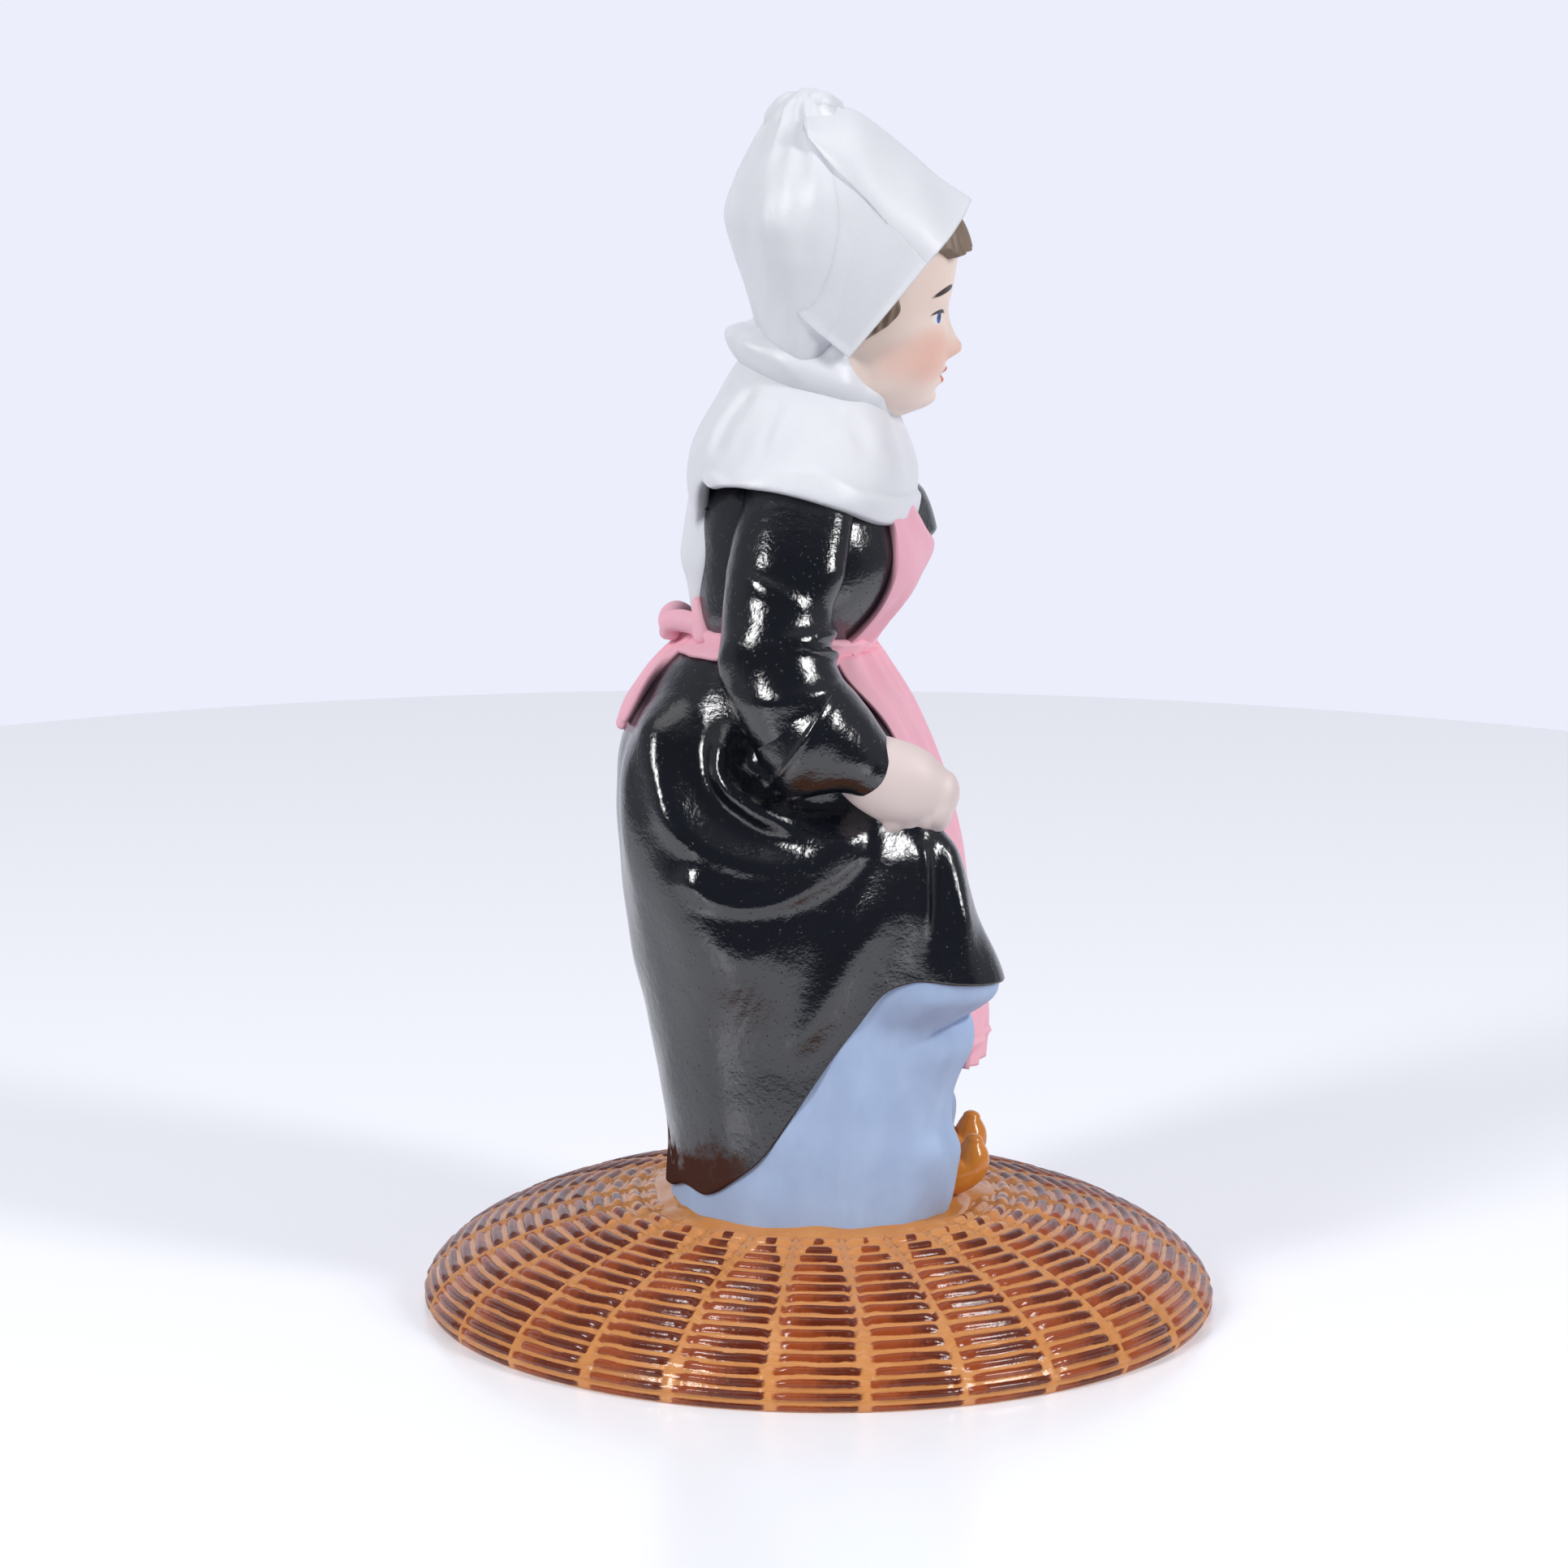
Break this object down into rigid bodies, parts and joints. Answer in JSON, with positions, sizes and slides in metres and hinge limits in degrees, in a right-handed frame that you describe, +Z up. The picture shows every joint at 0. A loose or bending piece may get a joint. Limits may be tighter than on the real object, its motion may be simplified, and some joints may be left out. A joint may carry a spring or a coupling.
{
  "type": "ceramic figurine",
  "caption": "Standing ceramic figurine of a girl in bonnet, shawl, apron and lifted skirt on a domed basket-weave base, a shelf ornament.",
  "frame": {"origin": "centre of the base's foot ring, on the table", "axes": "+Z up, +X the way the figure faces, +Y towards the figure's left hand"},
  "size_m": [0.0886, 0.0888, 0.1341],
  "materials": {
    "wicker_glaze": "glossy glaze, mahogany brown weavers over orange tan",
    "mound_glaze": "glossy tan glaze",
    "clog_glaze": "glossy orange glaze",
    "black_glaze": "high-gloss black glaze",
    "blue_satin": "satin pale blue, painted under a thin glaze",
    "pink_satin": "satin pink, painted under a thin glaze",
    "white_bisque": "matte white bisque",
    "skin_bisque": "matte pale skin bisque with a painted face",
    "hair_bisque": "matte grey-brown bisque"
  },
  "bodies": {
    "root": {"wicker_base": "wicker_glaze", "ground_mound": "mound_glaze", "clog_right": "clog_glaze", "clog_left": "clog_glaze", "stocking_right": "white_bisque", "stocking_left": "white_bisque", "petticoat": "blue_satin", "overskirt": "black_glaze", "apron_panel": "pink_satin", "apron_bib": "pink_satin", "apron_waistband": "pink_satin", "apron_bow": "pink_satin", "apron_tail_right": "pink_satin", "apron_tail_left": "pink_satin", "bodice": "black_glaze", "sleeve_right": "black_glaze", "sleeve_left": "black_glaze", "cuff_right": "black_glaze", "cuff_left": "black_glaze", "hand_right": "skin_bisque", "hand_left": "skin_bisque", "shawl": "white_bisque", "head": "skin_bisque", "hair": "hair_bisque", "bonnet_crown": "white_bisque", "bonnet_brim": "white_bisque", "bonnet_wing_right": "white_bisque", "bonnet_wing_left": "white_bisque", "bonnet_knot": "white_bisque", "bonnet_curtain": "white_bisque"}
  },
  "joints": []
}
